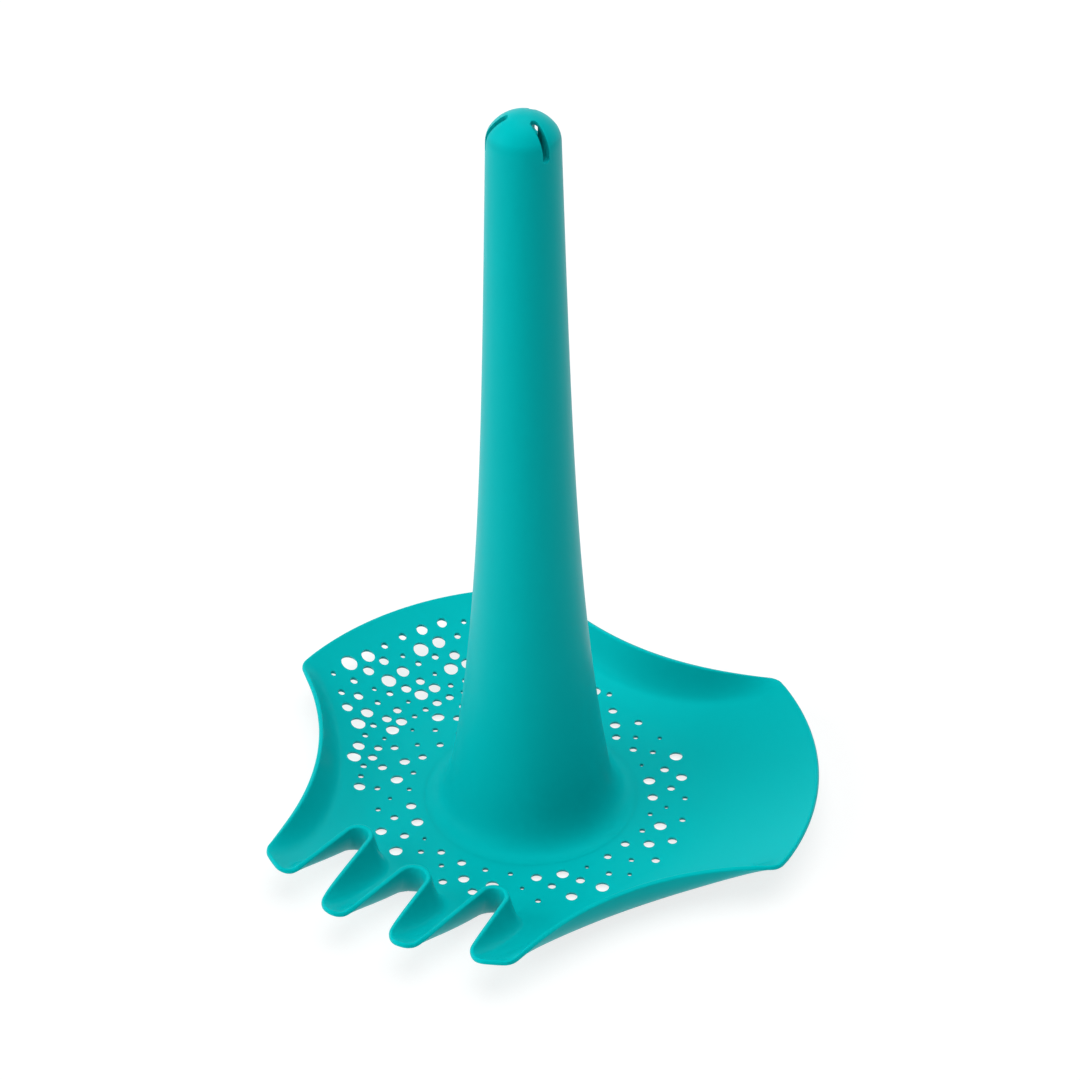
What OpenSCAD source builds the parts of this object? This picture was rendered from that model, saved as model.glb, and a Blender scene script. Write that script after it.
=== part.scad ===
// Hand-held sand toy: a three-lobed dish on an upright hollow handle.
// One lobe is cut into rake teeth, one is a plain spade and one is a sieve.
// Millimetres. The origin is on the handle's axis at ground level and +Z runs up the handle.
// The rake points along -Y, the spade lies at 30 degrees and the sieve at 150 degrees.

/* [Dish] */
// Radius of the circle that the lobes and teeth end on
lobe_r = 94.4; // [90:0.2:100]
// Half the angle that one lobe spans
lobe_half = 30; // [28:0.5:32]
// Depth of each hollow side, from a straight line between the corners of its lobes
side_hollow = 12.4; // [9:0.2:16]
// Rounding of the corners where a lobe meets a hollow side
corner_round = 4; // [3:0.5:6]
// Height of the rim above the ground
rim_h = 16.6; // [14:0.2:20]
// Height of the dish's floor above the ground
floor_z = 2; // [1.6:0.1:2.4]
// Thickness of the sheet at the floor
floor_t = 1.2; // [1:0.1:1.4]
// Thickness of the sheet at the rim
rim_t = 1.6; // [1.4:0.1:2.2]
// Radius out to which the floor is level
level_r = 54; // [50:0.5:58]
// How strongly the dish's rise gathers towards its rim, where 1 would be a straight cone
dish_power = 1.5; // [1.2:0.1:2]
// Width of the strip that turns up along a hollow side
side_band = 6; // [4.5:0.25:8]

/* [Rake] */
// Number of tooth spacings in the lobe's width, with the wider outer teeth
lobe_pitches = 3.6; // [3.4:0.05:3.8]
// Width of an inner tooth at the lobe's circle, which its tip is rounded over
tooth_w = 8.4; // [7:0.1:10]
// Angle by which each flank of a gap opens outwards
gap_flare = 6.5; // [5:0.1:8]
// Distance from the axis to the root of each gap
gap_root = 61.6; // [60:0.2:64]
// Width of the strip that turns up along a gap
gap_band = 4.6; // [3.6:0.2:6]
// Extra thickness of the turned-up strips half way up, as a share of the outer gaps' root radius
wall_swell = 0.32; // [0.16:0.02:0.44]

/* [Sieve] */
// Number of rows of holes that go right round the handle's foot
ring_rows = 3; // [2:1:3]
// Number of holes in each of those rows
ring_count = 30; // [20:1:32]
// Bare width left between the hub and the first row's largest holes
ring_margin = 0.8; // [0.5:0.1:2]
// Distance from one row to the next
row_gap = 5.6; // [5.4:0.1:6]
// Angle from one hole to the next in the sieve lobe's own rows
sieve_step = 5.2; // [5:0.1:7]
// Bare width left along the rim of the sieve lobe
sieve_margin = 9; // [8:0.5:14]
// Diameter of the largest holes in the first row
hole_d_in = 3.9; // [3:0.1:4.2]
// Diameter of the largest holes in the outermost row
hole_d_out = 5.2; // [4:0.1:5.4]

/* [Handle] */
// Height of the whole toy
total_h = 256; // [220:1:290]
// Height of the dome above its crease
dome_h = 7.2; // [6:0.2:9]
// Radius of the handle at the crease
grip_r = 10.9; // [10:0.1:12]
// Growth of the radius for each millimetre down the handle
grip_taper = 0.026; // [0.01:0.001:0.04]
// Extra radius that the flare adds at ground level
flare_r = 13.2; // [12:0.2:16]
// How strongly the flare gathers towards the foot
flare_power = 3.9; // [3:0.1:5]
// Radius at which the foot runs out into the floor
foot_r = 35.4; // [34.6:0.2:36.4]
// Height over which the foot curves out
foot_rise = 10; // [6:0.5:16]
// Wall of the handle
handle_wall = 2; // [1.6:0.1:2.4]

/* [Dome] */
// Wall of the dome and of its plug
dome_wall = 2; // [1.4:0.1:2.4]
// Length of the plug that goes down into the handle
plug_len = 8; // [6:0.5:14]
// Width of each slot
slot_w = 2.2; // [1.6:0.1:2.8]
// Distance from the axis to the inner end of each slot
slot_in = 4.2; // [3.5:0.1:5]
// Depth of each slot below the crease
slot_drop = 3.6; // [2.5:0.1:5]
// Angle by which the slots are turned from the directions of the hollow sides
slot_turn = 10; // [0:1:20]

/* [Seats] */
// Depth of the recess in the hub that the handle's foot drops into
seat_depth = 0.8; // [0.6:0.1:1.2]
// Width of the hub's land round that recess
hub_land = 1.6; // [1.2:0.1:2]
// Height of that land above the floor
land_rise = 0.1; // [0.05:0.05:0.3]
// Radial clearance of the foot in its recess and of the plug in the handle
seat_gap = 0.1; // [0.05:0.05:0.2]

/* [Hidden] */
$fn = 96;
teal = [0.0, 0.70, 0.71];

// Directions of the hollow sides and of the sieve
side_dirs = [90, 210, 330];
sieve_dir = 150;

// The gaps of the rake, counted from the middle one, their spacing and their width at the circle
gap_list = [-1, 0, 1];
tooth_pitch = 2 * lobe_r * sin(lobe_half) / lobe_pitches;
gap_mouth = tooth_pitch - tooth_w;

// Heights of the seats
hub_top = floor_z + land_rise;
seat_z = hub_top - seat_depth;
hub_r = foot_r + seat_gap + hub_land;
crease_z = total_h - dome_h;

// The hollow side is an arc round a far centre, through two lobe corners
side_half = 60 - lobe_half;
side_r = lobe_r * cos(side_half) - side_hollow;
side_arc = (pow(lobe_r * sin(side_half), 2) + pow(side_hollow, 2)) / (2 * side_hollow);
side_far = side_r + side_arc;

// The corner's rounding touches the lobe's circle from inside and the hollow side from outside
round_far = lobe_r - corner_round;
round_dir = acos((pow(round_far, 2) + pow(side_far, 2) - pow(side_arc + corner_round, 2))
                 / (2 * round_far * side_far));
round_centre = round_far * [cos(round_dir), sin(round_dir)];
side_end = [side_far, 0]
    + (round_centre - [side_far, 0]) * side_arc / (side_arc + corner_round);
side_end_dir = atan2(side_end.y, side_end.x);

// Counts of mesh steps: round a gap's root, round a tip's corner, along a tooth's end,
// along a hollow side, round a corner, along a lobe
root_steps = 6;
tip_steps = 4;
end_steps = 2;
side_steps = 9;
corner_steps = 4;
lobe_steps = 12;
// Rows of the mesh from the hub to the bend, on to the gap roots and on to the rim
hub_rows = 3;
bend_rows = 5;
rim_rows = 6;
// How strongly those rows crowd towards the gap roots and the rim
root_ease = 2;
rim_ease = 1.5;
// How much wider than a gap its lines bend, and how far a tooth's lines crowd towards its flanks
bend_spread = 1.1;
flank_crowd = 0.7;
// Where the same rows lie on the lines of the other lobes, as shares of the way to the rim
bend_share = 0.45;
root_share = 0.7;

// Plan radius of the rim at an angle from the nearest hollow side's direction, gaps left out
function rim_at(off) =
    off < side_end_dir
        ? side_far * cos(off) - sqrt(side_arc * side_arc - pow(side_far * sin(off), 2))
        : off < round_dir
            ? round_far * cos(off - round_dir)
                + sqrt(corner_round * corner_round - pow(round_far * sin(off - round_dir), 2))
            : lobe_r;

// Rake coordinates are [along, aside]: along the rake's direction and across it.
// The root of a gap is an arc that its two flanks leave as tangents.
function gap_root_along(k) = sqrt(gap_root * gap_root - pow(k * tooth_pitch, 2));
function gap_round(k) =
    (gap_mouth / 2 - (lobe_r - gap_root_along(k)) * tan(gap_flare))
        * cos(gap_flare) / (1 - sin(gap_flare));
function gap_centre(k) = [gap_root_along(k) + gap_round(k), k * tooth_pitch];
function flank_dir(s) = [cos(gap_flare), s * sin(gap_flare)];
function flank_in(s) = [-sin(gap_flare), s * cos(gap_flare)];
function flank_start(k, s) = gap_centre(k) + gap_round(k) * flank_in(s);

// A tooth's tip is rounded as fully as its width allows, where a flank meets the lobe's circle
tip_round = tooth_w / 2;
function tip_centre(k, s) =
    let (b = flank_start(k, s) + tip_round * flank_in(s),
         along = b * flank_dir(s),
         reach = lobe_r - tip_round)
    b + flank_dir(s) * (sqrt(along * along - b * b + reach * reach) - along);
function polar(p) = atan2(p.y, p.x);

// How far a strip has turned up at a distance from its edge: all the way at the edge itself
function turned_up(d, band) = let (u = 1 - d / band) u > 0 ? u * u : 0;
function from_side(p, dir) = norm(p - side_far * [cos(dir), sin(dir)]) - side_arc;
function from_gap(p, k) =
    let (v = [-p.y, p.x] - gap_centre(k),
         w = [v.x, abs(v.y)])
    w * flank_dir(1) > 0 ? w * flank_in(1) - gap_round(k) : norm(w) - gap_round(k);

// Height of the sheet's upper face. The dish rises as a power of the distance from its level
// floor, and the strips along the sides and gaps lift it to the rim's plane.
function left_down(p, i = 0) =
    i == len(side_dirs) + len(gap_list) ? 1
    : left_down(p, i + 1) * (1 - (i < len(side_dirs)
        ? turned_up(from_side(p, side_dirs[i]), side_band)
        : turned_up(from_gap(p, gap_list[i - len(side_dirs)]), gap_band)));
function dish_z(p) =
    let (u = max(0, (norm(p) - level_r) / (lobe_r - level_r)))
    floor_z + (rim_h - floor_z) * pow(u, dish_power);
function sheet_z(p) = rim_h - (rim_h - dish_z(p)) * left_down(p);
function sheet_normal(p, e = 0.05) =
    let (n = [sheet_z(p - [e, 0]) - sheet_z(p + [e, 0]),
              sheet_z(p - [0, e]) - sheet_z(p + [0, e]), 2 * e])
    n / norm(n);
function upper(p) = [p.x, p.y, sheet_z(p)];
function lower(p) =
    let (q = upper(p),
         down = left_down(p),
         swell = 4 * wall_swell * gap_round(1) * down * (1 - down) * (rim_h - dish_z(p)),
         t = floor_t + ((rim_t - floor_t) * (q.z - floor_z) + swell) / (rim_h - floor_z))
    q - t * sheet_normal(p);

// Points from a to b, without b and with it. A power above 1 crowds them towards b.
function run(a, b, n, power = 1) = [for (i = [0 : n - 1]) b + (a - b) * pow(1 - i / n, power)];
function run_to(a, b, n, power) = concat(run(a, b, n, power), [b]);

// Mesh lines run out from the hub, bend two thirds of the way to the outer gaps' roots and go on
// along the teeth. One that ends at a gap's root stops a few rows short of those that reach the rim.
mesh_r = hub_r - hub_land / 2;
bend_along = hub_r + (gap_root_along(1) - hub_r) * 2 / 3;
function bend_at(k, u) =
    [bend_along, gap_centre(k).y + u * bend_spread * gap_round(k) * cos(gap_flare)];
fan_dir = (lobe_half + 60) / 2;
fan_line = straight_line(fan_dir);
function from_hub(bend) = run(mesh_r * bend / norm(bend), bend, hub_rows);
function gap_line(bend, end) = concat(from_hub(bend), run_to(bend, end, bend_rows, root_ease));
function tooth_line(bend, root, end, ease) =
    concat(from_hub(bend), run(bend, root, bend_rows, ease), run_to(root, end, rim_rows, rim_ease));
function straight_line(dir) =
    let (u = [cos(dir), sin(dir)],
         hub = mesh_r * u,
         rim = rim_at(min(abs(dir - 60), 180 - dir)) * u)
    tooth_line(hub + (rim - hub) * bend_share, hub + (rim - hub) * root_share, rim, 1);

function gap_arc(k, from, to) =
    [for (i = [from : to])
        let (u = i / root_steps,
             a = (90 - gap_flare) * u)
        gap_line(bend_at(k, u), gap_centre(k) + gap_round(k) * [-cos(a), sin(a)])];
function tip_arc(c, from, to) =
    [for (i = [0 : tip_steps])
        let (a = from + (to - from) * i / tip_steps)
        c + tip_round * [cos(a), sin(a)]];
function rim_arc(from, to, n) =
    [for (i = [1 : n])
        let (a = from + (to - from) * i / n)
        rim_at(min(60, abs(60 - a))) * [cos(a), sin(a)]];
function fan(ends, root_a, root_b, bend_a, bend_b, ease_b, crowd) =
    [for (i = [0 : len(ends) - 1])
        let (u = i / (len(ends) - 1),
             v = u + crowd * ((1 - cos(180 * u)) / 2 - u))
        tooth_line(bend_a + (bend_b - bend_a) * u, root_a + (root_b - root_a) * v, ends[i],
                   root_ease + (ease_b - root_ease) * u)];
function straight_fan(from, to, n) =
    [for (i = [1 : n]) straight_line(from + (to - from) * i / n)];

inner_ends =
    let (a = tip_centre(0, 1), b = tip_centre(1, -1))
    concat(tip_arc(a, gap_flare - 90, polar(a)),
           [for (i = [1 : end_steps - 1])
               let (d = polar(a) + (polar(b) - polar(a)) * i / end_steps)
               lobe_r * [cos(d), sin(d)]],
           tip_arc(b, polar(b), 90 - gap_flare));
outer_ends =
    let (a = tip_centre(1, 1),
         corner = 60 - round_dir,
         hollow = 60 - side_end_dir)
    concat(tip_arc(a, gap_flare - 90, polar(a)),
           rim_arc(polar(a), corner, end_steps),
           rim_arc(corner, hollow, corner_steps),
           rim_arc(hollow, fan_dir, corner_steps));
half_lines = concat(
    gap_arc(0, 0, root_steps - 1),
    fan(inner_ends, flank_start(0, 1), flank_start(1, -1),
        bend_at(0, 1), bend_at(1, -1), root_ease, flank_crowd),
    gap_arc(1, 1 - root_steps, root_steps - 1),
    fan(outer_ends, flank_start(1, 1), fan_line[hub_rows + bend_rows],
        bend_at(1, 1), fan_line[hub_rows], 1, 0),
    straight_fan(fan_dir, 60 + side_end_dir, side_steps),
    straight_fan(60 + side_end_dir, 60 + round_dir, corner_steps),
    straight_fan(60 + round_dir, 180 - round_dir, lobe_steps),
    straight_fan(180 - round_dir, 180 - side_end_dir, corner_steps),
    straight_fan(180 - side_end_dir, 180, side_steps));

// The other half is its mirror image, and all lines turn so that the rake points along -Y
mesh_lines = concat(
    [for (line = half_lines) [for (p = line) [p.y, -p.x]]],
    [for (i = [len(half_lines) - 2 : -1 : 1]) [for (p = half_lines[i]) [-p.y, -p.x]]]);
line_starts = [for (i = 0, at = 0; i < len(mesh_lines);
                    at = at + len(mesh_lines[i]), i = i + 1) at];
mesh_points = [for (line = mesh_lines) each line];

// Two triangles for the quad a, b, c, d, cut the other way in the mirrored half
function quad(a, b, c, d, mirrored) =
    mirrored ? [[a, b, d], [b, c, d]] : [[a, b, c], [a, c, d]];
function sheet_faces(count) = [
    for (i = [0 : len(mesh_lines) - 1])
        let (j = (i + 1) % len(mesh_lines),
             a = line_starts[i],
             b = line_starts[j],
             rows_a = len(mesh_lines[i]),
             rows_b = len(mesh_lines[j]),
             m = min(rows_a, rows_b) - 1,
             q = i > len(half_lines) - 2)
        each concat(
            [for (k = [0 : m - 1])
                each concat(
                    quad(a + k, b + k, b + k + 1, a + k + 1, q),
                    quad(count + a + k, count + a + k + 1, count + b + k + 1, count + b + k, q))],
            quad(a, count + a, count + b, b, q),
            quad(a + m, b + m, count + b + m, count + a + m, q),
            [for (k = [m : 1 : rows_a - 2])
                each quad(a + k, count + a + k, count + a + k + 1, a + k + 1, q)],
            [for (k = [m : 1 : rows_b - 2])
                each quad(b + k, b + k + 1, count + b + k + 1, count + b + k, q)])];

// Holes are [radius, direction, diameter]. Sizes, and small shifts as shares of the distance between
// rows, run through short cycles, so that large and small holes mix. The sizes grow outwards.
size_mix = [1, 0.45, 0.72, 0.36, 0.86, 0.5, 0.64];
shift_mix = [0, 0.11, -0.09, 0.05, -0.13];
sieve_end = lobe_r - sieve_margin;
ring_r = hub_r + ring_margin + hole_d_in / 2 - min(shift_mix) * row_gap;
function mixed(list, i) = list[((i % len(list)) + len(list)) % len(list)];
function hole_at(row, i, step) =
    let (r = ring_r + (row + mixed(shift_mix, 2 * i + row)) * row_gap,
         dir = sieve_dir + (i + (row % 2) / 2) * step,
         largest = hole_d_in + (hole_d_out - hole_d_in) * (r - ring_r) / (sieve_end - ring_r))
    [r, dir, largest * mixed(size_mix, 3 * i + 2 * row)];
function fits_sieve(h) =
    let (p = h[0] * [cos(h[1]), sin(h[1])],
         room = min([for (dir = side_dirs) from_side(p, dir)]))
    h[0] < sieve_end && room > sieve_margin;
sieve_rows = ceil((sieve_end - ring_r) / row_gap);
sieve_span = floor(60 / sieve_step);
holes = concat(
    [for (row = [0 : ring_rows - 1], i = [0 : ring_count - 1]) hole_at(row, i, 360 / ring_count)],
    [for (row = [ring_rows : 1 : sieve_rows], i = [-sieve_span : sieve_span])
        let (h = hole_at(row, i, sieve_step))
        if (fits_sieve(h)) h]);

// Outer radius of the handle's stem, and of the stem with the curve of its foot
function stem_r(z) =
    grip_r + grip_taper * (crease_z - z) + flare_r * pow(1 - z / total_h, flare_power);
function foot_point(a) =
    let (z = hub_top + foot_rise * (1 - cos(a)))
    [stem_r(z) + (foot_r - stem_r(hub_top)) * (1 - sin(a)), z];
stem_rows = 24;
foot_rows = 10;
bore_r = stem_r(seat_z) - handle_wall;

// Outer faces of the dome and the hollow under it are two spheres on one centre
dome_round = (grip_r * grip_r + dome_h * dome_h) / (2 * dome_h);
dome_centre = total_h - dome_round;
crease_dir = asin((crease_z - dome_centre) / dome_round);
plug_r = grip_r - handle_wall - seat_gap;
dome_steps = 12;

// The dish with its rake teeth, holes and hub
module blade() color(teal)
    difference() {
        union() {
            polyhedron(points = concat([for (p = mesh_points) upper(p)], [for (p = mesh_points) lower(p)]),
                       faces = sheet_faces(len(mesh_points)));
            hub();
        }
        for (h = holes)
            rotate(h[1])
                translate([h[0], 0, -1])
                    cylinder(d = h[2], h = rim_h + 2);
    }

// The hub's ring, with the recess for the handle's foot and the open bore under the handle
module hub()
    difference() {
        cylinder(r = hub_r, h = hub_top);
        translate([0, 0, seat_z])
            cylinder(r = foot_r + seat_gap, h = seat_depth + 1);
        translate([0, 0, -1])
            cylinder(r = bore_r, h = hub_top + 2);
    }

// The hollow handle, open at the foot
module handle() color(teal)
    difference() {
        rotate_extrude()
            polygon(concat(
                [[bore_r, seat_z], [foot_r, seat_z]],
                [for (i = [0 : foot_rows - 1]) foot_point(90 * i / foot_rows)],
                [for (i = [0 : stem_rows])
                    let (z = hub_top + foot_rise + (crease_z - hub_top - foot_rise) * i / stem_rows)
                    [stem_r(z), z]],
                [for (i = [stem_rows : -1 : 1])
                    let (z = seat_z + (crease_z - seat_z) * i / stem_rows)
                    [stem_r(z) - handle_wall, z]]));
        slots();
    }

// The slotted dome, with a plug that drops into the top of the handle
module tip_cap() color(teal)
    difference() {
        rotate_extrude()
            polygon(concat(
                [[plug_r, crease_z - plug_len], [plug_r, crease_z], [grip_r, crease_z]],
                [for (i = [1 : dome_steps])
                    let (a = crease_dir + (90 - crease_dir) * i / dome_steps)
                    [dome_round * cos(a), dome_centre + dome_round * sin(a)]],
                [for (i = [dome_steps : -1 : 0])
                    let (a = 90 * i / dome_steps)
                    [(plug_r - dome_wall) * cos(a), crease_z + (dome_h - dome_wall) * sin(a)]],
                [[plug_r - dome_wall, crease_z - plug_len]]));
        slots();
    }

// Three round-ended slots that run over the dome's shoulder and down into the handle
module slots()
    for (dir = side_dirs)
        rotate(dir + slot_turn)
            translate([slot_in + slot_w / 2, 0, 0]) {
                reach = grip_r + 1;
                low = crease_z - slot_drop + slot_w / 2;
                translate([0, 0, low])
                    rotate([0, 90, 0])
                        cylinder(d = slot_w, h = reach);
                translate([0, -slot_w / 2, low])
                    cube([reach, slot_w, total_h]);
                translate([0, 0, low])
                    cylinder(d = slot_w, h = total_h);
            }

blade();
handle();
tip_cap();
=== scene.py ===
import math

import bmesh
import bpy
import numpy as np
from mathutils import Matrix


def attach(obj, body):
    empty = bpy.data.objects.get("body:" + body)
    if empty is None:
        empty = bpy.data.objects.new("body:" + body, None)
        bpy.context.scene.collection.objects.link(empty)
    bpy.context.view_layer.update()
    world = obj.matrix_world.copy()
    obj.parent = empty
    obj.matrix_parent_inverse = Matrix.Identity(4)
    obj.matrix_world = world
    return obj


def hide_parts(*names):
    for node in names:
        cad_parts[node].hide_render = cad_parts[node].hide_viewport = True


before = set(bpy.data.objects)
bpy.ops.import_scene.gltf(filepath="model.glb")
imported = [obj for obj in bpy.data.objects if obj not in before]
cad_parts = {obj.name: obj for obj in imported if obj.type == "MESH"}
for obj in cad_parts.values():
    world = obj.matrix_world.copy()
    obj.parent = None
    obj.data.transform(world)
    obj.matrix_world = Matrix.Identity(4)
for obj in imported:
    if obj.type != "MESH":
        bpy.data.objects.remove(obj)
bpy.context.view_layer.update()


# Camera: looks down on the toy from in front of the rake's right-hand side, as a long lens sees it.
eye, heading, downward, roll = (0.4186, -0.6237, 0.6565), 33.58, 36.22, -0.48
camera = bpy.data.objects.new("camera", bpy.data.cameras.new("camera"))
camera.data.lens = 99.44
camera.data.sensor_width = 36
camera.data.clip_end = 20
camera.matrix_world = (
    Matrix.Translation(eye)
    @ Matrix.Rotation(math.radians(heading), 4, "Z")
    @ Matrix.Rotation(math.radians(90 - downward), 4, "X")
    @ Matrix.Rotation(math.radians(roll), 4, "Z")
)
bpy.context.collection.objects.link(camera)
bpy.context.scene.camera = camera
bpy.context.scene.view_settings.view_transform = "Standard"


# Stage: a white floor that keeps a soft shadow, a pale surround and two large soft lights, one from
# the left and one from above.
def background_rays(nodes, links):
    """One for the rays that see the white background, and zero for those that only carry light."""
    rays = nodes.new("ShaderNodeLightPath")
    seen = rays.outputs["Is Camera Ray"]
    for kind in ("Is Glossy Ray", "Is Transmission Ray"):
        both = nodes.new("ShaderNodeMath")
        both.operation = "MAXIMUM"
        links.new(seen, both.inputs[0])
        links.new(rays.outputs[kind], both.inputs[1])
        seen = both.outputs[0]
    return seen


# Part of what is seen of the floor is plain white, and the rest takes the light and the shadow.
reach, white_share, white_level, paper_tone = 6, 0.68, 1.16, 0.85
floor_mesh = bpy.data.meshes.new("floor")
floor_corners = [(-reach, -reach, 0), (reach, -reach, 0), (reach, reach, 0), (-reach, reach, 0)]
floor_mesh.from_pydata(floor_corners, [], [(0, 1, 2, 3)])
floor = bpy.data.objects.new("floor", floor_mesh)
bpy.context.collection.objects.link(floor)
floor_look = bpy.data.materials.new("floor_white")
floor_look.use_nodes = True
nodes, links = floor_look.node_tree.nodes, floor_look.node_tree.links
nodes.clear()
share = nodes.new("ShaderNodeMath")
share.operation = "MULTIPLY"
share.inputs[1].default_value = white_share
links.new(background_rays(nodes, links), share.inputs[0])
paper = nodes.new("ShaderNodeBsdfDiffuse")
paper.inputs["Color"].default_value = (paper_tone, paper_tone, paper_tone, 1)
glow = nodes.new("ShaderNodeEmission")
glow.inputs["Color"].default_value = (1, 1, 1, 1)
glow.inputs["Strength"].default_value = white_level
mixed = nodes.new("ShaderNodeMixShader")
links.new(share.outputs[0], mixed.inputs[0])
links.new(paper.outputs[0], mixed.inputs[1])
links.new(glow.outputs[0], mixed.inputs[2])
floor_out = nodes.new("ShaderNodeOutputMaterial")
links.new(mixed.outputs[0], floor_out.inputs["Surface"])
floor_mesh.materials.append(floor_look)

world = bpy.data.worlds.new("surround")
world.use_nodes = True
nodes, links = world.node_tree.nodes, world.node_tree.links
sky = nodes["Background"]
sky.inputs["Color"].default_value = (1, 1, 1, 1)
power = nodes.new("ShaderNodeMapRange")
power.inputs["To Min"].default_value = 0.12
power.inputs["To Max"].default_value = 1.0
links.new(background_rays(nodes, links), power.inputs["Value"])
links.new(power.outputs[0], sky.inputs["Strength"])
bpy.context.scene.world = world

lamp_far, lamp_wide = 4, 4.3
for name, energy, azimuth, elevation in (("key", 108, 232, 24), ("overhead", 128, 54, 84)):
    lamp = bpy.data.objects.new(name, bpy.data.lights.new(name, "AREA"))
    lamp.data.shape = "DISK"
    lamp.data.size = lamp_wide
    lamp.data.energy = energy
    swing = Matrix.Rotation(math.radians(azimuth), 4, "Z")
    tilt = Matrix.Rotation(math.radians(90 - elevation), 4, "Y")
    lamp.matrix_world = swing @ tilt @ Matrix.Translation((0, 0, lamp_far))
    bpy.context.collection.objects.link(lamp)


# Moulded plastic: one teal resin for every piece, with faint flow marks and a fine satin grain.
class Value:
    """A shader number that can be written in plain maths."""

    def __init__(self, tree, socket):
        self.tree = tree
        self.socket = socket

    def node(self, kind, output=0, settings=None, **inputs):
        made = self.tree.nodes.new(kind)
        for name, value in (settings or {}).items():
            setattr(made, name, value)
        for name, value in inputs.items():
            into = made.inputs[name.replace("_", " ")]
            if isinstance(value, Value):
                self.tree.links.new(value.socket, into)
            else:
                into.default_value = value
        return Value(self.tree, made.outputs[output])

    def maths(self, operation, a, b):
        made = self.tree.nodes.new("ShaderNodeMath")
        made.operation = operation
        for into, value in zip(made.inputs, (a, b)):
            if isinstance(value, Value):
                self.tree.links.new(value.socket, into)
            else:
                into.default_value = value
        return Value(self.tree, made.outputs[0])

    def __add__(self, other):
        return self.maths("ADD", self, other)

    def __radd__(self, other):
        return self.maths("ADD", other, self)

    def __sub__(self, other):
        return self.maths("SUBTRACT", self, other)

    def __rmul__(self, other):
        return self.maths("MULTIPLY", other, self)


teal_plastic = bpy.data.materials.new("teal_plastic")
teal_plastic.use_nodes = True
tree = teal_plastic.node_tree
shader = tree.nodes["Principled BSDF"]
shader.inputs["Specular IOR Level"].default_value = 0.12
shader.inputs["Specular Tint"].default_value = (0.0, 1.0, 1.0, 1)
shader.inputs["Subsurface Weight"].default_value = 0.3
shader.inputs["Subsurface Radius"].default_value = (0.2, 1.0, 1.0)
shader.inputs["Subsurface Scale"].default_value = 0.003
place = Value(tree, tree.nodes.new("ShaderNodeTexCoord").outputs["Object"])
flow = place.node("ShaderNodeTexNoise", Vector=place, Scale=28.0, Detail=3.0)
cloud = place.node("ShaderNodeTexNoise", Vector=place, Scale=9.0, Detail=2.0)
grain = place.node("ShaderNodeTexNoise", Vector=place, Scale=2600.0, Detail=2.0)
tone = 0.5 * flow + 0.5 * cloud
mix_factor, mix_a, mix_b, mix_result = 0, 6, 7, 2
resin = place.node("ShaderNodeMix", output=mix_result, settings={"data_type": "RGBA"})
colours = resin.socket.node
tree.links.new(tone.socket, colours.inputs[mix_factor])
colours.inputs[mix_a].default_value = (0.0, 0.48, 0.493, 1)
colours.inputs[mix_b].default_value = (0.0, 0.52, 0.535, 1)
satin = 0.4 + 0.06 * (flow - 0.5) + 0.05 * (grain - 0.5)
relief = place.node("ShaderNodeBump", Height=grain, Strength=0.06, Distance=0.0002)
tree.links.new(resin.socket, shader.inputs["Base Color"])
tree.links.new(satin.socket, shader.inputs["Roughness"])
tree.links.new(relief.socket, shader.inputs["Normal"])


mm = 0.001


def plain_mesh(name, points, faces):
    """A smooth piece from points in millimetres and the faces between them."""
    mesh = bpy.data.meshes.new(name)
    mesh.from_pydata((np.asarray(points) * mm).tolist(), [], faces)
    mesh.validate()
    mesh.shade_smooth()
    piece = bpy.data.objects.new(name, mesh)
    bpy.context.collection.objects.link(piece)
    return piece


def bake(piece, sharp):
    """Turns a piece's modifiers into its plain mesh. Edges over an angle in degrees stay sharp."""
    shape = piece.evaluated_get(bpy.context.evaluated_depsgraph_get())
    mesh = bpy.data.meshes.new_from_object(shape)
    piece.modifiers.clear()
    piece.data = mesh
    # A cut leaves needless points along edges. Only two edges meet there, and they are taken out.
    work = bmesh.new()
    work.from_mesh(mesh)
    bmesh.ops.dissolve_verts(work, verts=[v for v in work.verts if len(v.link_edges) == 2])
    work.to_mesh(mesh)
    work.free()
    mesh.shade_smooth()
    mesh.set_sharp_from_angle(angle=math.radians(sharp))
    mesh.materials.clear()
    mesh.materials.append(teal_plastic)


# Blade: the three-lobed dish. Its rim lies in one plane, and strips along the hollow sides and the
# gaps of the rake turn up to it, so each tooth is a small trough. The other lobes are a plain spade
# and a sieve, and a ring of holes runs round the handle's foot. The outline is that of the sheet's
# upper face, and its rounded edge stands a little further out.
lobe_r, side_r, lobe_half, corner = 94.0, 69.25, 30, 4.0
rim_z, floor_z, level_r, dish_power = 16.2, 2.0, 54.0, 1.5
floor_t, rim_t, edge_r, swell = 1.2, 1.6, 0.5, 1.6
side_band, gap_band = 6.0, 4.6
pitch, mouth, flare, root_r = 26.2, 18.0, math.radians(6.5), 61.5
foot_r, hub_r, bore_r, seat_z = 35.4, 37.1, 28.1, 1.3
fineness = 3

third = math.pi / 3
side_dirs = [math.radians(direction) for direction in (90, 210, 330)]
side_half = math.radians(60 - lobe_half)
sag = lobe_r * math.cos(side_half) - side_r
side_arc = ((lobe_r * math.sin(side_half)) ** 2 + sag**2) / (2 * sag)
side_far = side_r + side_arc
round_far = lobe_r - corner
round_dir = math.acos(
    (round_far**2 + side_far**2 - (side_arc + corner) ** 2) / (2 * round_far * side_far)
)
side_end = np.array([side_far, 0]) + (
    round_far * np.array([math.cos(round_dir), math.sin(round_dir)]) - np.array([side_far, 0])
) * side_arc / (side_arc + corner)
side_end_dir = math.atan2(side_end[1], side_end[0])


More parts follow.
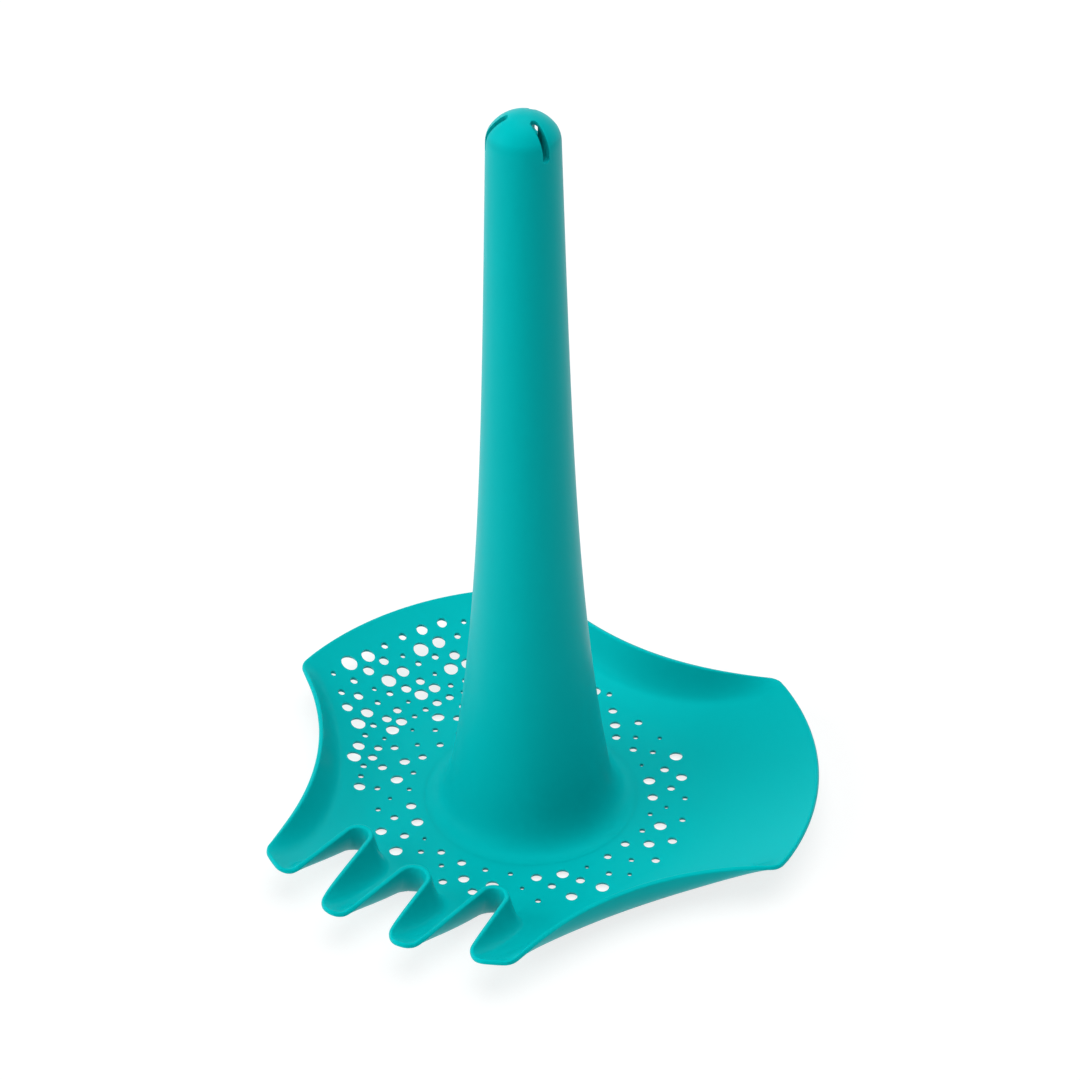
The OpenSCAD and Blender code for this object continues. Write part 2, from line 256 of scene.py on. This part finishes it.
def rim_at(off):
    """Radius of the outline, at an angle off the middle of a hollow side."""
    if off < side_end_dir:
        return side_far * math.cos(off) - math.sqrt(side_arc**2 - (side_far * math.sin(off)) ** 2)
    if off < round_dir:
        turn = off - round_dir
        return round_far * math.cos(turn) + math.sqrt(corner**2 - (round_far * math.sin(turn)) ** 2)
    return lobe_r


def root_along(k):
    """How far out the root of gap k lies. The three roots lie on one circle."""
    return math.sqrt(root_r**2 - (k * pitch) ** 2)


def root_round(k):
    """Radius of the rounded root of gap k, which runs smoothly into both flanks."""
    half = mouth / 2 - (lobe_r - root_along(k)) * math.tan(flare)
    return half * math.cos(flare) / (1 - math.sin(flare))


def gap_centre(k):
    """Centre of the rounded root of gap k, along and across the rake."""
    return np.array([root_along(k) + root_round(k), k * pitch])


def flank_dir(s):
    """Direction outwards along a gap's flank on side s."""
    return np.array([math.cos(flare), s * math.sin(flare)])


def flank_in(s):
    """Direction from a gap across its flank into the tooth on side s."""
    return np.array([-math.sin(flare), s * math.cos(flare)])


def flank_start(k, s):
    """Where the rounded root of gap k ends and its flank on side s starts."""
    return gap_centre(k) + root_round(k) * flank_in(s)


tip_round = (pitch - mouth) / 2


def tip_centre(k, s):
    """Centre of the rounded corner of the tooth on side s of gap k."""
    b = flank_start(k, s) + tip_round * flank_in(s)
    along = b @ flank_dir(s)
    return b + flank_dir(s) * (math.sqrt(along**2 - b @ b + (lobe_r - tip_round) ** 2) - along)


def polar(p):
    """Direction of a point of the plan, as an angle."""
    return math.atan2(p[1], p[0])


def turned_up(d, band):
    """How far a strip turns up: fully at its edge, and not at all past its band."""
    return np.clip(1 - d / band, 0, None) ** 2


def dish_z(x, y):
    """Height of the dish at points of the plan, before its strips are turned up."""
    out = np.clip((np.hypot(x, y) - level_r) / (lobe_r - level_r), 0, None)
    return floor_z + (rim_z - floor_z) * out**dish_power


def left_down(x, y):
    """How much of the dish's depth the strips along the sides and gaps leave."""
    low = np.ones_like(x)
    for direction in side_dirs:
        cx, cy = side_far * math.cos(direction), side_far * math.sin(direction)
        low = low * (1 - turned_up(np.hypot(x - cx, y - cy) - side_arc, side_band))
    for k in (-1, 0, 1):
        centre = gap_centre(k)
        along, aside = -y - centre[0], np.abs(x - centre[1])
        on_flank = along * math.cos(flare) + aside * math.sin(flare) > 0
        d = np.where(
            on_flank,
            aside * math.cos(flare) - along * math.sin(flare),
            np.hypot(along, aside),
        )
        low = low * (1 - turned_up(d - root_round(k), gap_band))
    return low


def sheet_z(x, y):
    """Height of the sheet's upper face at points of the plan."""
    return rim_z - (rim_z - dish_z(x, y)) * left_down(x, y)


# Lines of the mesh run out from the hub, bend behind the gap roots and go on along the teeth.
hub_rows, bend_rows, rim_rows = (n * fineness for n in (3, 5, 6))
bend_along = hub_r + (root_along(1) - hub_r) * 2 / 3
root_steps, root_ease, rim_ease = 5 * fineness, 2.0, 1.5
bend_spread, flank_crowd = 1.1, 0.7
bend_share, root_share = 0.45, 0.7


def run(a, b, n, power=1.0):
    """Points from a to just short of b, closer together towards b for a power over 1."""
    return [b + (a - b) * (1 - i / n) ** power for i in range(n)]


def from_hub(bend):
    """The first stretch of a mesh line, from the hub's edge to its bend."""
    return run(hub_r * bend / np.hypot(*bend), bend, hub_rows)


def bend_at(k, u):
    """Bend of the mesh line that ends a share u across the root of gap k."""
    return np.array([bend_along, k * pitch + bend_spread * u * root_round(k) * math.cos(flare)])


def tooth_line(bend, root, end, ease):
    """A mesh line from the hub over its bend and its root to the rim."""
    return from_hub(bend) + run(bend, root, bend_rows, ease) + run(root, end, rim_rows, rim_ease) + [end]


def straight_line(angle):
    """A mesh line straight out to the rim."""
    u = np.array([math.cos(angle), math.sin(angle)])
    rim = rim_at(min(abs(angle - third), math.pi - angle))
    bend, root = (hub_r + share * (rim - hub_r) for share in (bend_share, root_share))
    return tooth_line(bend * u, root * u, rim * u, 1.0)


def gap_arc(k, first, last):
    """Mesh lines that end on the rounded root of gap k."""
    arc = []
    for i in range(first, last + 1):
        a = (math.pi / 2 - flare) * i / root_steps
        end = gap_centre(k) + root_round(k) * np.array([-math.cos(a), math.sin(a)])
        bend = bend_at(k, i / root_steps)
        arc.append(from_hub(bend) + run(bend, end, bend_rows, root_ease) + [end])
    return arc


def tip_arc(centre, a, b):
    """Points round the corner of a tooth."""
    angles = np.linspace(a, b, 4 * fineness + 1)
    return [centre + tip_round * np.array([math.cos(t), math.sin(t)]) for t in angles]


def rim_arc(a, b, n):
    """Points of the outline between two angles, without the first."""
    angles = np.linspace(a, b, n * fineness + 1)[1:]
    return [
        rim_at(min(third, abs(third - t))) * np.array([math.cos(t), math.sin(t)])
        for t in angles
    ]


def fan(ends, root_a, root_b, bend_a, bend_b, ease_b, crowd):
    """Mesh lines to the given ends. Their bends and roots go over from a to b."""
    lines = []
    for u, end in zip(np.linspace(0, 1, len(ends)), ends):
        v = u + crowd * ((1 - math.cos(math.pi * u)) / 2 - u)
        bend, root = bend_a + (bend_b - bend_a) * u, root_a + (root_b - root_a) * v
        lines.append(tooth_line(bend, root, end, root_ease + (ease_b - root_ease) * u))
    return lines


def straight_fan(a, b, n):
    """Straight mesh lines between two angles, without the first."""
    return [straight_line(t) for t in np.linspace(a, b, n * fineness + 1)[1:]]


fan_angle = math.radians((lobe_half + 60) / 2)
fan_line = straight_line(fan_angle)
tip_a, tip_b, tip_c = tip_centre(0, 1), tip_centre(1, -1), tip_centre(1, 1)
inner_ends = (
    tip_arc(tip_a, flare - math.pi / 2, polar(tip_a))
    + rim_arc(polar(tip_a), polar(tip_b), 2)[:-1]
    + tip_arc(tip_b, polar(tip_b), math.pi / 2 - flare)
)
outer_ends = (
    tip_arc(tip_c, flare - math.pi / 2, polar(tip_c))
    + rim_arc(polar(tip_c), third - round_dir, 2)
    + rim_arc(third - round_dir, third - side_end_dir, 4)
    + rim_arc(third - side_end_dir, fan_angle, 4)
)
half_lines = (
    gap_arc(0, 0, root_steps - 1)
    + fan(
        inner_ends,
        flank_start(0, 1),
        flank_start(1, -1),
        bend_at(0, 1),
        bend_at(1, -1),
        root_ease,
        flank_crowd,
    )
    + gap_arc(1, 1 - root_steps, root_steps - 1)
    + fan(
        outer_ends,
        flank_start(1, 1),
        fan_line[hub_rows + bend_rows],
        bend_at(1, 1),
        fan_line[hub_rows],
        1.0,
        0.0,
    )
    + straight_fan(fan_angle, third + side_end_dir, 9)
    + straight_fan(third + side_end_dir, third + round_dir, 4)
    + straight_fan(third + round_dir, math.pi - round_dir, 12)
    + straight_fan(math.pi - round_dir, math.pi - side_end_dir, 4)
    + straight_fan(math.pi - side_end_dir, math.pi, 9)
)
right = [np.array([[p[1], -p[0]] for p in line]) for line in half_lines]
lines = right + [line * (-1, 1) for line in right[-2:0:-1]]
starts = np.cumsum([0] + [len(line) for line in lines])
plan = np.concatenate(lines)
x, y = plan.T
step = 0.03
normal = np.stack(
    [
        sheet_z(x - step, y) - sheet_z(x + step, y),
        sheet_z(x, y - step) - sheet_z(x, y + step),
        np.full_like(x, 2 * step),
    ],
    axis=1,
)
normal /= np.linalg.norm(normal, axis=1, keepdims=True)
top = np.column_stack([plan, sheet_z(x, y)])
down = left_down(x, y)
extra = 4 * swell * down * (1 - down) * (rim_z - dish_z(x, y))
thick = floor_t + ((rim_t - floor_t) * (top[:, 2] - floor_z) + extra) / (rim_z - floor_z)
under = top - thick[:, None] * normal
count = len(plan)
points = [*top, *under]
faces = []
loop = []
for i, line in enumerate(lines):
    j = (i + 1) % len(lines)
    a, b = starts[i], starts[j]
    rows = [len(lines[k % len(lines)]) - 1 for k in (i - 1, i, i + 1)]
    shared = min(rows[1:])
    for k in range(shared):
        faces.append((a + k, b + k, b + k + 1, a + k + 1))
        faces.append((count + a + k, count + a + k + 1, count + b + k + 1, count + b + k))
    loop += [a + k for k in range(min(rows[:2]), rows[1])]
    loop += [a + k for k in range(rows[1], shared - 1, -1)]

# The rim's edge is rounded above and below, all the way round the outline.
loop = np.array(loop)
ahead = top[np.roll(loop, -1)] - top[np.roll(loop, 1)]
outward = np.cross(ahead, normal[loop])
outward /= np.linalg.norm(outward, axis=1, keepdims=True)
bands = [loop]
for height, turn in [(1, t) for t in (30, 60, 90)] + [(-1, t) for t in (90, 60, 30)]:
    t = math.radians(turn)
    middle = (top if height > 0 else under)[loop] - height * edge_r * normal[loop]
    ring = middle + edge_r * (height * math.cos(t) * normal[loop] + math.sin(t) * outward)
    bands.append(np.arange(len(points), len(points) + len(loop)))
    points += [*ring]
bands.append(loop + count)
for upper, lower in zip(bands, bands[1:]):
    for k in range(len(loop)):
        n = (k + 1) % len(loop)
        faces.append((upper[k], upper[n], lower[n], lower[k]))

# The hub closes the sheet's inner edge: a seat for the handle's foot and a flat ring to stand on.
spokes = np.array([line[0] / np.hypot(*line[0]) for line in lines])
bands = [starts[:-1]]
for r, z in ((foot_r, floor_z), (foot_r, seat_z), (bore_r, seat_z), (bore_r, 0), (hub_r, 0)):
    bands.append(np.arange(len(points), len(points) + len(lines)))
    points += [*np.column_stack([spokes * r, np.full(len(lines), z)])]
bands.append(starts[:-1] + count)
for upper, lower in zip(bands, bands[1:]):
    for k in range(len(lines)):
        n = (k + 1) % len(lines)
        faces.append((upper[k], lower[k], lower[n], upper[n]))
blade = plain_mesh("blade_moulding", points, [tuple(int(v) for v in face) for face in faces])

# Holes run in rows round the axis. Sizes and shifts go through short cycles, so that they mix.
# Each hole widens downwards by a share of its radius for each millimetre, so that sand falls through.
size_mix = (1, 0.45, 0.72, 0.36, 0.86, 0.5, 0.64)
shift_mix = (0, 0.11, -0.09, 0.05, -0.13)
row_gap, ring_rows, ring_count, sieve_step = 5.6, 3, 30, 5.2
hole_in, hole_out, ring_r, sieve_end, sieve_margin = 3.9, 5.2, 40.58, 86.6, 9.0
widening, drill_up, drill_down, drill_sides = 0.2, 2.5, 4.0, 36
hole_rows, sieve_dir, sieve_half = 9, 150, 11
centres, sizes = [], []
for row in range(hole_rows):
    in_ring = row < ring_rows
    turn = 360 / ring_count if in_ring else sieve_step
    for i in range(ring_count) if in_ring else range(-sieve_half, sieve_half + 1):
        r = ring_r + (row + shift_mix[(2 * i + row) % len(shift_mix)]) * row_gap
        angle = math.radians(sieve_dir + (i + row % 2 / 2) * turn)
        px, py = r * math.cos(angle), r * math.sin(angle)
        room = min(
            math.hypot(px - side_far * math.cos(d), py - side_far * math.sin(d)) - side_arc
            for d in side_dirs
        )
        if in_ring or (r < sieve_end and room > sieve_margin):
            largest = hole_in + (hole_out - hole_in) * (r - ring_r) / (sieve_end - ring_r)
            surface = float(sheet_z(np.array([px]), np.array([py]))[0])
            centres.append((px, py, surface - drill_down))
            sizes.append(largest * size_mix[(3 * i + 2 * row) % len(size_mix)] * mm)
hole_points = plain_mesh("hole_points", centres, [])
hole_points.data.attributes.new("diameter", "FLOAT", "POINT").data.foreach_set("value", sizes)

perforate = bpy.data.node_groups.new("perforate", "GeometryNodeTree")
sockets = perforate.interface
sockets.new_socket("Sheet", in_out="INPUT", socket_type="NodeSocketGeometry")
at = sockets.new_socket("Hole points", in_out="INPUT", socket_type="NodeSocketObject")
sides = sockets.new_socket("Sides", in_out="INPUT", socket_type="NodeSocketInt")
depth = sockets.new_socket("Depth", in_out="INPUT", socket_type="NodeSocketFloat")
sockets.new_socket("Sheet", in_out="OUTPUT", socket_type="NodeSocketGeometry")
nodes, links = perforate.nodes, perforate.links
given = nodes.new("NodeGroupInput")
made = nodes.new("NodeGroupOutput")
where = nodes.new("GeometryNodeObjectInfo")
links.new(given.outputs["Hole points"], where.inputs["Object"])
# The drill is 1 across at the sheet's upper face, and each point's diameter scales it.
drill = nodes.new("GeometryNodeMeshCone")
drill.inputs["Radius Top"].default_value = 0.5 * (1 - widening * drill_up)
drill.inputs["Radius Bottom"].default_value = 0.5 * (1 + widening * drill_down)
links.new(given.outputs["Sides"], drill.inputs["Vertices"])
links.new(given.outputs["Depth"], drill.inputs["Depth"])
width = nodes.new("GeometryNodeInputNamedAttribute")
width.data_type = "FLOAT"
width.inputs["Name"].default_value = "diameter"
scale = nodes.new("ShaderNodeCombineXYZ")
links.new(width.outputs["Attribute"], scale.inputs["X"])
links.new(width.outputs["Attribute"], scale.inputs["Y"])
scale.inputs["Z"].default_value = 1
drills = nodes.new("GeometryNodeInstanceOnPoints")
links.new(where.outputs["Geometry"], drills.inputs["Points"])
links.new(drill.outputs["Mesh"], drills.inputs["Instance"])
links.new(scale.outputs[0], drills.inputs["Scale"])
real = nodes.new("GeometryNodeRealizeInstances")
links.new(drills.outputs[0], real.inputs[0])
cut = nodes.new("GeometryNodeMeshBoolean")
cut.operation = "DIFFERENCE"
cut.solver = "EXACT"
links.new(given.outputs["Sheet"], cut.inputs[0])
links.new(real.outputs[0], cut.inputs[1])
weld = nodes.new("GeometryNodeMergeByDistance")
weld.inputs["Distance"].default_value = 0.002 * mm
links.new(cut.outputs[0], weld.inputs["Geometry"])
dressed = nodes.new("GeometryNodeSetMaterial")
dressed.inputs["Material"].default_value = teal_plastic
links.new(weld.outputs[0], dressed.inputs["Geometry"])
links.new(dressed.outputs[0], made.inputs[0])
holes = blade.modifiers.new("holes", "NODES")
holes.node_group = perforate
holes[at.identifier] = hole_points
holes[sides.identifier] = drill_sides
holes[depth.identifier] = (drill_up + drill_down) * mm
bake(blade, sharp=40)
bpy.data.objects.remove(hole_points)
bpy.data.node_groups.remove(perforate)
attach(blade, "root")
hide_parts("blade")


# Handle: a hollow trumpet-shaped stem that flares out into the dish's floor without a line, open
# at its foot, with the lower ends of the dome's slots in its top edge.
total_h, dome_h, grip_r, taper = 256.0, 7.2, 10.9, 0.028
flare_r, flare_power, foot_top, wall = 11.0, 3.9, 14.0, 2.0
foot_level, foot_lead, soft = 6.0, 7.0, 1.8
crease_z = total_h - dome_h


def stem_r(z):
    """Outer radius of the stem at a height."""
    return grip_r + taper * (crease_z - z) + flare_r * (1 - z / total_h) ** flare_power


def turned(name, profile, around=160):
    """Turns a closed ring of (radius, height) points round the axis. A radius of 0 makes a pole."""
    angles = np.arange(around) * 2 * math.pi / around
    points, rings, faces = [], [], []
    for r, z in profile:
        turns = angles if r > 0 else angles[:1]
        rings.append([len(points) + i for i in range(len(turns))])
        points += [(r * math.cos(a), r * math.sin(a), z) for a in turns]
    for low, high in zip(rings, rings[1:] + rings[:1]):
        for i in range(around):
            j = (i + 1) % around
            corners = (low[i % len(low)], low[j % len(low)], high[j % len(high)], high[i % len(high)])
            corners = tuple(dict.fromkeys(corners))
            if len(corners) > 2:
                faces.append(corners)
    return plain_mesh(name, points, faces)


# The foot's curve leaves the dish level and meets the stem along its slope.
lean = stem_r(foot_top - 0.5) - stem_r(foot_top + 0.5)
foot_bends = np.array([
    (foot_r, floor_z),
    (foot_r - foot_level, floor_z),
    (stem_r(foot_top) + foot_lead * lean, foot_top - foot_lead),
    (stem_r(foot_top), foot_top),
])
foot = []
for t in np.linspace(0, 1, 30)[:-1]:
    weights = np.array([(1 - t) ** 3, 3 * t * (1 - t) ** 2, 3 * t**2 * (1 - t), t**3])
    foot.append(tuple(weights @ foot_bends))

# The stem goes over into the dome in a soft shoulder, which the seam between the two pieces halves.
dome_round = (grip_r**2 + dome_h**2) / (2 * dome_h)
dome_middle = total_h - dome_round
crease_dir = math.asin((crease_z - dome_middle) / dome_round)
below = np.array([stem_r(crease_z - soft), crease_z - soft])
above_dir = crease_dir + soft / dome_round
above = np.array([dome_round * math.cos(above_dir), dome_middle + dome_round * math.sin(above_dir)])
corner_point = np.array([grip_r, crease_z])
shoulder = [
    tuple((below * (1 - t) ** 2 + corner_point * 2 * t * (1 - t) + above * t**2).tolist())
    for t in np.linspace(0, 1, 13)
]
seam = len(shoulder) // 2
seam_z = shoulder[seam][1]
outside = [(stem_r(z), z) for z in np.linspace(foot_top, crease_z - soft, 90)]
outside += shoulder[1 : seam + 1]
inside = [(stem_r(z) - wall, z) for z in np.linspace(seam_z, seat_z, 50)]
handle = turned("handle_moulding", foot + outside + inside + [(foot_r, seat_z)])

# Each slot is cut by an upright bar with a rounded inner edge and a rounded lower end.
slot_w, slot_in, slot_drop = 2.4, 4.2, 4.2
cut_out, cut_above = 16, 3
levels = [(crease_z - slot_drop + slot_w / 2 * (1 - math.cos(a)), slot_w / 2 * math.sin(a))
          for a in np.linspace(0.15, math.pi / 2, 8)]
levels.append((total_h + cut_above, slot_w / 2))
points, faces = [], []
for direction in (100, 220, 340):
    c, s = math.cos(math.radians(direction)), math.sin(math.radians(direction))
    base = len(points)
    for z, half in levels:
        outline = [(cut_out, -half)]
        outline += [(slot_in + slot_w / 2 - half * math.cos(a), half * math.sin(a))
                    for a in np.linspace(-math.pi / 2, math.pi / 2, 13)]
        outline += [(cut_out, half)]
        points += [(u * c - v * s, u * s + v * c, z) for u, v in outline]
    n = len(outline)
    for level in range(len(levels) - 1):
        low = base + level * n
        faces += [(low + k, low + n + k, low + n + (k + 1) % n, low + (k + 1) % n) for k in range(n)]
    faces.append(tuple(base + k for k in range(n)))
    faces.append(tuple(base + (len(levels) - 1) * n + k for k in reversed(range(n))))
slots = plain_mesh("slots", points, faces)


def cut_slots(piece):
    """Cuts the dome's three slots into a piece."""
    cut = piece.modifiers.new("slots", "BOOLEAN")
    cut.operation = "DIFFERENCE"
    cut.solver = "EXACT"
    cut.object = slots
    bake(piece, sharp=32)


cut_slots(handle)
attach(handle, "root")
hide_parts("handle")


# Dome: the rounded tip, with three slots over its shoulder and a plug that goes down into the handle.
dome_wall, plug_len, plug_r = 1.2, 8.0, 8.8
shell = [(plug_r, crease_z - plug_len), (plug_r, seam_z)] + shoulder[seam:-1]
shell += [(dome_round * math.cos(a), dome_middle + dome_round * math.sin(a))
          for a in np.linspace(above_dir, math.pi / 2, 30)[:-1]]
hollow_round = dome_round - dome_wall
shell += [(0, total_h), (0, dome_middle + hollow_round)]
shell += [(hollow_round * math.cos(a), dome_middle + hollow_round * math.sin(a))
          for a in np.linspace(math.pi / 2, math.acos((plug_r - dome_wall) / hollow_round), 20)[1:]]
shell += [(plug_r - dome_wall, crease_z - plug_len)]
dome = turned("dome_moulding", shell)
cut_slots(dome)
bpy.data.objects.remove(slots)
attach(dome, "root")
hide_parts("tip_cap")
